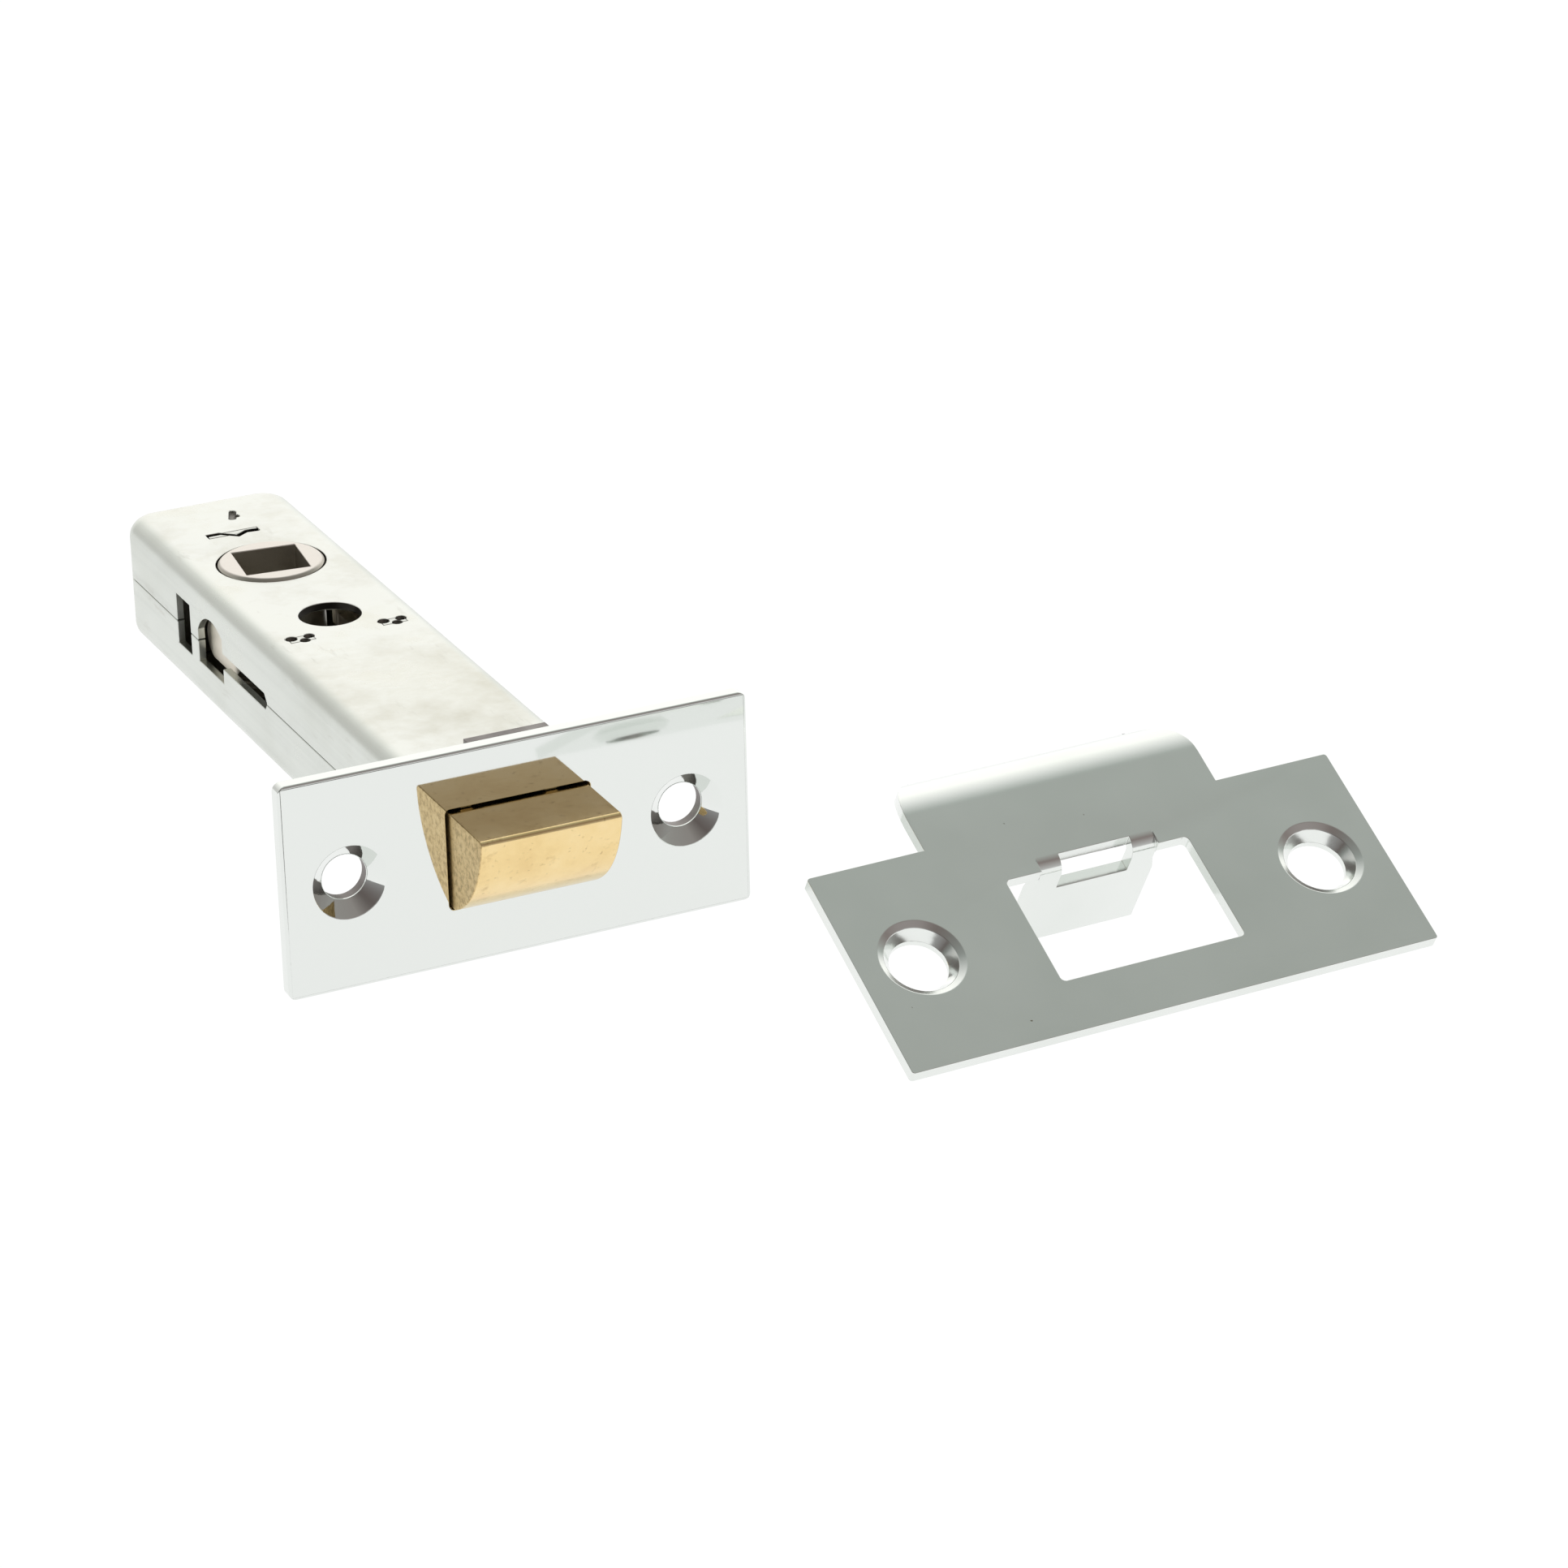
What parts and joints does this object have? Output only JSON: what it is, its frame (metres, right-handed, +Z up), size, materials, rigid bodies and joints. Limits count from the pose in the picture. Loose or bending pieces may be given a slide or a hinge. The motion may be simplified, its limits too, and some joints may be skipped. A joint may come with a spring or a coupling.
{
  "type": "tubular mortice latch",
  "caption": "Tubular mortice door latch: sprung bevelled brass bolt in a flat steel case with square spindle follower and polished forend, with its lipped strike plate.",
  "frame": {"origin": "centre of the forend's front face, midway between the two screw holes", "axes": "+X along the forend, +Y from the forend into the door along the case, +Z up along the spindle"},
  "size_m": [0.1194, 0.152, 0.026],
  "materials": {
    "polished": "mirror polish",
    "zinc_plain": "plain zinc plate",
    "case_steel": "bright zinc plate, satin",
    "bolt_brass": "polished",
    "follower_steel": "sintered, warm grey",
    "spring_wire": "drawn wire",
    "strike_steel": "satin nickel plate"
  },
  "bodies": {
    "case": {"forend_plate": "polished", "forend_backing": "zinc_plain", "case_top_shell": "case_steel", "case_bottom_shell": "case_steel", "spring_abutment": "zinc_plain", "rear_stop": "zinc_plain", "bolt_spring": "spring_wire"},
    "bolt": {"latch_bolt": "bolt_brass", "bolt_pin": "zinc_plain", "drawbar": "follower_steel"},
    "follower": {"follower": "follower_steel"},
    "strike": {"strike_plate": "strike_steel"}
  },
  "joints": [
    {"name": "bolt_slide", "type": "slide", "parent": "case", "child": "bolt", "axis": [0, 1, 0], "range_m": [0, 0.0095], "stiffness_N_per_m": 600, "springref_m": -0.012, "deforming": ["bolt_spring"]},
    {"name": "follower_turn", "type": "hinge", "parent": "case", "child": "follower", "pos_m": [0, 0.076, 0], "axis": [0, 0, -1], "range_deg": [0, 67]},
    {"name": "strike_lift", "type": "slide", "parent": "case", "child": "strike", "axis": [0, 0, 1], "range_m": [0, 0.05]}
  ],
  "couplings": [
    {"joint": "follower_turn", "follows": "bolt_slide", "rad_per_m": 123}
  ]
}
